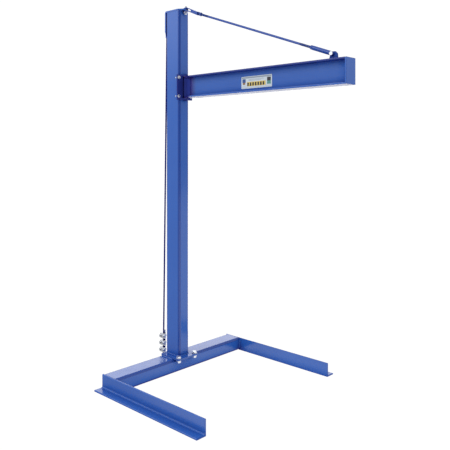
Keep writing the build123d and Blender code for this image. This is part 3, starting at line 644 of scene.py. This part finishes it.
def knuckle_welds(paint):
    """Knuckle's plate to the beam's web and to the inside of both flanges."""
    sheet = Sheet()
    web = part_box("web_label")[1].y
    low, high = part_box("boom_knuckle")
    for side in (-1, 1):
        out = (0, side, 0)
        face = -side * web
        straight_weld(sheet, (high.x, face, low.z + 12 * MM), (high.x, face, high.z - 12 * MM),
                      FORWARD, out, 3.5 * MM, seed=24.0)
        for level, direction in ((low.z, UP), (high.z, DOWN)):
            straight_weld(sheet, (high.x - 2 * MM, side * KNUCKLE_PLATE_HALF, level),
                          (low.x + 34 * MM, side * KNUCKLE_PLATE_HALF, level),
                          out, direction, 5 * MM, seed=25.0)
    add_piece("knuckle_welds", sheet.mesh("knuckle_welds"), paint, "boom")


# ---------------------------------------------------------------- wire rope
def rope_path():
    """Centre line of the rope as the frame has it: live line, loop round the thimble, dead end."""
    rope_low, rope_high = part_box("stay_rope")
    thimble = middle("rope_thimble")
    pivot = middle("rope_socket_bolt")
    pivot.y = 0.0
    radius = thimble.y - 0.05 * MM
    loop = (rope_high.y - rope_low.y) / 2 - radius
    step = Vector((0, 2 * thimble.y, 0))
    lowest_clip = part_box("rope_clip_saddles")[0].z + CLIP_HALF_HEIGHT
    foot = Vector((thimble.x + 2 * MM, 0, lowest_clip - ROPE_FOOT_DROP))
    lean = (foot - pivot).normalized()
    points = [pivot + lean * ((pivot.z - rope_high.z) / -lean.z), foot]
    near = thimble - Vector((0, loop, 0))
    far = thimble + Vector((0, loop, 0))
    points += curve_between(foot, lean, near, Vector(DOWN))
    for i in range(1, 24):
        angle = math.pi * i / 24
        points.append(thimble - Vector((0, math.cos(angle), math.sin(angle))) * loop)
    points.append(far)
    points += curve_between(far, Vector(UP), foot + step, -lean)
    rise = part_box("rope_end_sleeve")[1].z - ROPE_END_IN_SLEEVE - foot.z
    points.append(foot + step + lean * (rise / lean.z))
    return points, radius, lean


def curve_between(start, leave, end, arrive, steps=12):
    """Points after the first on a cubic curve that leaves start and reaches end as directed."""
    reach = (end - start).length
    points = []
    for i in range(1, steps + 1):
        t = i / steps
        h1 = 2 * t ** 3 - 3 * t ** 2 + 1
        h2 = t ** 3 - 2 * t ** 2 + t
        h3 = -2 * t ** 3 + 3 * t ** 2
        h4 = t ** 3 - t ** 2
        points.append(start * h1 + leave * (reach * h2) + end * h3 + arrive * (reach * h4))
    return points


def square_to(tangent):
    """Two directions square to the rope, that don't twist along its path."""
    other = tangent.cross(Vector(FORWARD)).normalized()
    return other.cross(tangent), other


def stay_rope(material):
    """Six strands laid round a core along the rope's path."""
    points, radius = rope_path()[:2]
    strands = 6
    strand = radius / 3
    lay = radius * 2 * 6.5      # length in which a strand goes once round
    per_lay = 18
    stations = evenly(points, lay / per_lay)
    corners = [math.pi / 3 * j for j in range(6)]
    sheet = Sheet()
    for n in range(strands):
        rings = []
        for i, (place, tangent) in enumerate(stations):
            turn = 2 * math.pi * (n / strands + i / per_lay)
            across, other = square_to(tangent)
            out = across * math.cos(turn) + other * math.sin(turn)
            side = across * -math.sin(turn) + other * math.cos(turn)
            centre = place + out * (radius - strand)
            wide = side * (strand * 1.04)
            rings.append([centre + out * (strand * math.cos(a)) + wide * math.sin(a) for a in corners])
        sheet.loft(rings)
    core = []
    for place, tangent in stations[::3]:
        across, other = square_to(tangent)
        core.append([place + (across * math.cos(a) + other * math.sin(a)) * (radius * 0.55)
                     for a in corners])
    sheet.loft(core)
    mesh = sheet.mesh("stay_rope_strands")
    rope = add_piece("stay_rope_strands", mesh, material, "frame")
    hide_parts("stay_rope")


# ---------------------------------------------------------------- screw threads
def thread(sheet, start, direction, length, radius, pitch):
    """A raised helical thread over a plain shank."""
    start = Vector(start)
    axis = Vector(direction).normalized()
    first = axis.orthogonal().normalized()
    second = axis.cross(first)
    per_turn = 20
    count = int(length / pitch * per_turn)
    rings = []
    for i in range(count + 1):
        angle = 2 * math.pi * i / per_turn
        out = first * math.cos(angle) + second * math.sin(angle)
        place = start + axis * (pitch * i / per_turn)
        fade = min(1.0, i / per_turn + 0.05, (count - i) / per_turn + 0.05)
        crest = out * (radius + 0.42 * MM * fade)
        root = out * (radius - 0.25 * MM)
        root_half = axis * (pitch * 0.42)
        crest_half = axis * (pitch * 0.08)
        rings.append([place + root - root_half, place + crest - crest_half,
                      place + crest + crest_half, place + root + root_half])
    sheet.loft(rings)


def clip_places():
    """Where the rope clips sit on the live line."""
    points, _, lean = rope_path()
    foot = points[1]
    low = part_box("rope_clip_saddles")[0].z + CLIP_HALF_HEIGHT
    heights = [low + CLIP_STEP * i for i in range(CLIP_COUNT)]
    return [foot + lean * ((z - foot.z) / lean.z) for z in heights]


def screw_threads(zinc, paint):
    """Threads where a shank shows past its nut, and on the tie rod beside its lock nuts."""
    sheet = Sheet()
    nut_low, nut_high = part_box("foot_nuts")
    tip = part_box("foot_bolts")[0].z + 2 * MM
    bolt_x = (nut_low.x + nut_high.x) / 2
    bolt_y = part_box("foot_washers")[1].y - FOOT_WASHER_RADIUS
    for y in (-bolt_y, bolt_y):
        thread(sheet, (bolt_x, y, tip), UP, nut_low.z - tip, *FOOT_THREAD)
    pin = middle("upper_clevis_pin")
    pin.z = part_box("upper_clevis_pin")[0].z + 1 * MM
    thread(sheet, pin, UP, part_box("upper_clevis_nut")[0].z - pin.z - 1 * MM, *ROD_THREAD)
    leg_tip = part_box("rope_clip_u_bolts")[0].y + 0.6 * MM
    leg_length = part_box("rope_clip_nuts")[0].y - leg_tip
    for place in clip_places():
        for side in (-1, 1):
            start = (place.x + side * CLIP_LEG_SPACING / 2, leg_tip, place.z)
            thread(sheet, start, (0, 1, 0), leg_length, *CLIP_THREAD)
    add_piece("bolt_threads", sheet.mesh("bolt_threads"), zinc, "frame")

    rod = Sheet()
    joint = next(j for j in frame["joints"] if j["name"] == "tie_rod_turn")
    axis = Vector(joint["axis"])
    # how far up the rod from each lock nut its thread starts, and the thread's length
    threaded = (("upper_jam_nut", 26 * MM, 110 * MM), ("lower_jam_nut", 95 * MM, 100 * MM))
    for nut, before, length in threaded:
        thread(rod, middle(nut) - axis * before, axis, length, *ROD_THREAD)
    add_piece("tie_rod_threads", rod.mesh("tie_rod_threads"), paint, "tie_rod")


# ---------------------------------------------------------------- label
def patch(sheet, x0, x1, z0, z1, front, thick):
    """Thin raised rectangle on the label, with its face towards -Y."""
    corners = ((x0, z0), (x1, z0), (x1, z1), (x0, z1))
    sheet.loft([[Vector((x, y, z)) for x, z in corners] for y in (front + thick, front)])


def label_print():
    """Generic print: a grey header, a yellow block with dark bars, and plain marks either side."""
    low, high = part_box("web_label")
    width = high.x - low.x
    height = high.z - low.z
    face = low.y
    layer = 0.15 * MM

    def area(name, ink, rectangles, depth=1):
        """One ink's rectangles: x0, x1, z0, z1 in shares of the label's width and height."""
        sheet = Sheet()
        for x0, x1, z0, z1 in rectangles:
            patch(sheet, low.x + width * x0, low.x + width * x1,
                  low.z + height * z0, low.z + height * z1,
                  face - layer * depth, layer * depth)
        add_piece(name, sheet.mesh(name), printed(name, ink), "boom", smooth=False)

    area("label_header", LABEL_GREY, [(0.02, 0.98, 0.84, 0.95)])
    lines = [(0.24, 0.24 + length, z, z + 0.030) for z, length in ((0.72, 0.5), (0.64, 0.4))]
    area("label_lines", LABEL_GREY, lines)
    area("label_block", LABEL_YELLOW, [(0.19, 0.80, 0.18, 0.54)])
    lefts = [0.20 + 0.084 * i for i in range(7)]
    area("label_bars", LABEL_BLACK, [(x, x + 0.052, 0.21, 0.49) for x in lefts], depth=2)
    area("label_left_mark", LABEL_BLUE, [(0.035, 0.145, 0.50, 0.80)])
    area("label_left_foot", LABEL_BROWN, [(0.050, 0.130, 0.34, 0.50)])
    area("label_right_mark", LABEL_BLACK, [(0.845, 0.965, 0.50, 0.80)])
    area("label_right_foot", LABEL_GREEN, [(0.845, 0.965, 0.24, 0.50)])


# ---------------------------------------------------------------- floor, light and camera
def floor():
    """Plain floor that shows as white, and is dimmer to the left in reflections."""
    half = 14.0
    level = -0.5 * MM
    mesh = bpy.data.meshes.new("floor")
    corners = [(-half, -half, level), (half, -half, level), (half, half, level), (-half, half, level)]
    mesh.from_pydata(corners, [], [(0, 1, 2, 3)])
    ground = bpy.data.objects.new("floor", mesh)
    bpy.context.scene.collection.objects.link(ground)
    look = Shader("studio_floor")
    mottle = look.spread(look.noise(1.2, detail=4.0), 0.35, 0.65, 0.96, 1.04)
    mirrored = look.spread(look.towards(look.place, LEFT), -0.2, 0.6, 1.2, 0.5)
    mirrored = look.math("ADD", mirrored, look.spread(look.towards(look.place, BEHIND), 0.4, 0.9))
    glow = look.blend(look.seen_by("Diffuse"), mirrored, 0.92)
    glow = look.math("MULTIPLY", glow, mottle)
    glow = look.blend(look.seen_by("Camera"), glow, 1.05)
    black = (0.0, 0.0, 0.0)
    white = (1.0, 1.0, 1.0)
    material = look.finish(black, 1.0, Specular_IOR_Level=0.0,
                           Emission_Color=white, Emission_Strength=glow)
    material.cycles.emission_sampling = "NONE"
    mesh.materials.append(material)


def area_light(name, place, target, side, power):
    """Square soft box at a place, turned to a target."""
    data = bpy.data.lights.new(name, "AREA")
    data.shape = "SQUARE"
    data.size = side
    data.energy = power
    lamp = bpy.data.objects.new(name, data)
    bpy.context.scene.collection.objects.link(lamp)
    lamp.location = place
    lamp.rotation_euler = (Vector(target) - Vector(place)).to_track_quat("-Z", "Y").to_euler()


class Sky(Shader):
    """The world's node tree, with the same short calls."""

    def __init__(self, world):
        self.nodes = world.node_tree.nodes
        self.links = world.node_tree.links
        self.place = self.nodes.new("ShaderNodeTexCoord").outputs["Generated"]


def lights():
    """White room: even light on matt faces, and mirrored panels to the left, behind and above."""
    world = bpy.data.worlds.new("studio")
    world.use_nodes = True
    world.cycles.sampling_method = "NONE"
    bpy.context.scene.world = world
    look = Sky(world)
    height = look.axis_value("Z")
    left = look.spread(look.towards(look.place, LEFT), 0.25, 0.85)
    behind = look.spread(look.towards(look.place, BEHIND), 0.25, 0.75)
    right = look.spread(look.towards(look.place, RIGHT), 0.45, 0.9)
    mirrored = look.blend(right, 0.10, look.spread(height, 0.0, 0.20, 0.35, 0.85))
    mirrored = look.blend(left, mirrored, look.spread(height, 0.10, 0.20, 0.55, 1.7))
    band = look.spread(height, 0.12, 0.28, 0.3, 2.0)
    panel = look.blend(look.spread(height, 0.40, 0.52), band, 0.45)
    mirrored = look.blend(behind, mirrored, panel)
    mirrored = look.blend(look.spread(height, 0.6, 0.95), mirrored, 1.0)
    even = look.spread(look.towards(look.place, CAMERA_SIDE), 0.5, 0.95, 1.0, 0.5)
    glow = look.blend(look.seen_by("Diffuse"), mirrored, even)
    glow = look.blend(look.seen_by("Camera"), glow, 1.05)
    look.feed(look.nodes["Background"].inputs["Color"], (1.0, 1.0, 1.0))
    look.feed(look.nodes["Background"].inputs["Strength"], glow)
    area_light("key", place=(-1.5, -4.5, 5.5), target=(0.4, 0, 1.4), side=3.0, power=90)


def camera():
    """Level camera, with its picture shifted down to take in the floor."""
    data = bpy.data.cameras.new("camera")
    data.sensor_width = 36.0
    data.lens = LENS
    data.shift_y = LENS_DROP
    view = bpy.data.objects.new("camera", data)
    bpy.context.scene.collection.objects.link(view)
    view.location = CAMERA_PLACE
    view.rotation_euler = (math.radians(90), 0, math.radians(CAMERA_HEADING))
    bpy.context.scene.camera = view


# ---------------------------------------------------------------- build
paint = blue_paint()
# shaded copies of the paint, with painted shade: very dark purple-blue on the hinge, darker blue on the tie rod
# and its fittings
hinge_shaded_paint = blue_paint("hinge_shaded_paint", shade=0.8, tone=PAINT_RECESS_SHADE)
shaded_paint = blue_paint("shaded_paint", shade=0.5)
# painted shade on the rounded corners of the mast and the cross member
mast_paint = blue_paint("mast_paint", tube=(mast_low, mast_high, "XY"))
base_paint = blue_paint("base_paint", tube=(base_low, base_high, "XZ"))
# painted shade under the boom's top flange and at its root
beam_paint = blue_paint("beam_paint", dark_above=beam_high.z - 8 * MM, dark_root=BOOM_ROOT_END)
weld_paint = blue_paint("weld_paint", ripple=1.5)
zinc = zinc_plate()
finishes = {
    "blue_paint": paint,
    "zinc": zinc,
    "galvanized": galvanized(),
    "bronze": bronze(),
    "rope_steel": rope_wire(),
    "label": printed("label_film", LABEL_WHITE),
}
own_paint = {
    "mast_tube": mast_paint,
    "cross_member": base_paint,
    "boom_beam": beam_paint,
    "boom_knuckle": hinge_shaded_paint,
    "hinge_bracket": hinge_shaded_paint,
    "swing_pin": hinge_shaded_paint,
    "tie_lug": shaded_paint,
    "tie_rod": shaded_paint,
    "lower_clevis": shaded_paint,
    "lower_jam_nut": shaded_paint,
    "upper_jam_nut": shaded_paint,
    "upper_clevis": shaded_paint,
}
for row in frame["record"]["subparts"]:
    node = frame["nodes"][row["node"]]
    node.data.materials.clear()
    node.data.materials.append(own_paint.get(row["node"], finishes[row["material_slot"]]))

frame_welds(weld_paint)
boom_welds(weld_paint)
knuckle_welds(hinge_shaded_paint)
stay_rope(finishes["rope_steel"])
screw_threads(zinc, shaded_paint)
label_print()
floor()
lights()
camera()
bpy.context.scene.view_settings.view_transform = "Standard"
